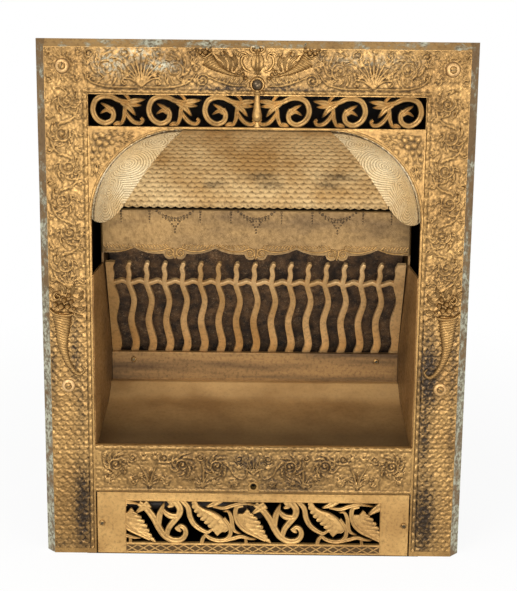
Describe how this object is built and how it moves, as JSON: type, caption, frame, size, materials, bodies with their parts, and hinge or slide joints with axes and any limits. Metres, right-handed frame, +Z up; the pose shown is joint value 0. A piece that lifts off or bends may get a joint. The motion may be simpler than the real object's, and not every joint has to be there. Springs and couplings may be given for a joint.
{
  "type": "gas fireplace insert",
  "caption": "Ornate cast-iron gas fireplace insert: arched bronze-finished face, pierced grilles, ringed hood, wavy flame bars before a fibre back, turning flue damper and gas valve.",
  "frame": {"origin": "middle of the face's bottom edge, on the plane of its front", "axes": "+X to the right seen from the front, +Y back into the chimney, +Z up"},
  "size_m": [0.61, 0.2868, 0.7475],
  "materials": {
    "gilt_iron": "bronze paint, worn",
    "polished_iron": "polished bronze",
    "firebox_iron": "heat-darkened bronze paint",
    "fibre": "matte, fibrous",
    "sheet_iron": "matte black",
    "flue_iron": "bare, dark",
    "valve_brass": "dull",
    "pipe_iron": "black",
    "screw_steel": "darkened"
  },
  "bodies": {
    "insert": {"face_frame": "gilt_iron", "frieze_grille": "gilt_iron", "lower_grille": "gilt_iron", "crest_ornament": "gilt_iron", "left_cornucopia": "gilt_iron", "right_cornucopia": "gilt_iron", "face_bosses": "gilt_iron", "face_screws": "screw_steel", "face_nuts": "screw_steel", "panel_screws": "screw_steel", "rail_screws": "screw_steel", "hood": "polished_iron", "valance_panel": "gilt_iron", "flame_grate": "gilt_iron", "grate_rail": "firebox_iron", "left_cheek": "firebox_iron", "right_cheek": "firebox_iron", "floor_pan": "firebox_iron", "fibre_back": "fibre", "back_plate": "sheet_iron", "rear_casing": "sheet_iron", "flue_collar": "flue_iron", "damper_escutcheon": "gilt_iron", "burner_tube": "flue_iron", "burner_cups": "flue_iron", "mixer_tube": "flue_iron", "gas_spud": "valve_brass", "valve_body": "valve_brass", "packing_nut": "valve_brass", "supply_elbow": "pipe_iron", "supply_pipe": "pipe_iron"},
    "damper": {"damper_spindle": "screw_steel", "damper_disc": "flue_iron", "damper_nut": "screw_steel", "damper_handle": "gilt_iron"},
    "valve_plug": {"valve_stem": "valve_brass"},
    "air_sleeve": {"air_shutter": "valve_brass"}
  },
  "joints": [
    {"name": "damper_turn", "type": "hinge", "parent": "insert", "child": "damper", "pos_m": [0, 0, 0.6884], "axis": [0, 1, 0], "range_deg": [0, 90]},
    {"name": "valve_turn", "type": "hinge", "parent": "insert", "child": "valve_plug", "pos_m": [0, 0.045, 0.1064], "axis": [0, 1, 0], "range_deg": [0, 90]},
    {"name": "air_turn", "type": "hinge", "parent": "insert", "child": "air_sleeve", "pos_m": [0, 0.104, 0.1064], "axis": [0, 1, 0], "range_deg": [0, 60]}
  ]
}
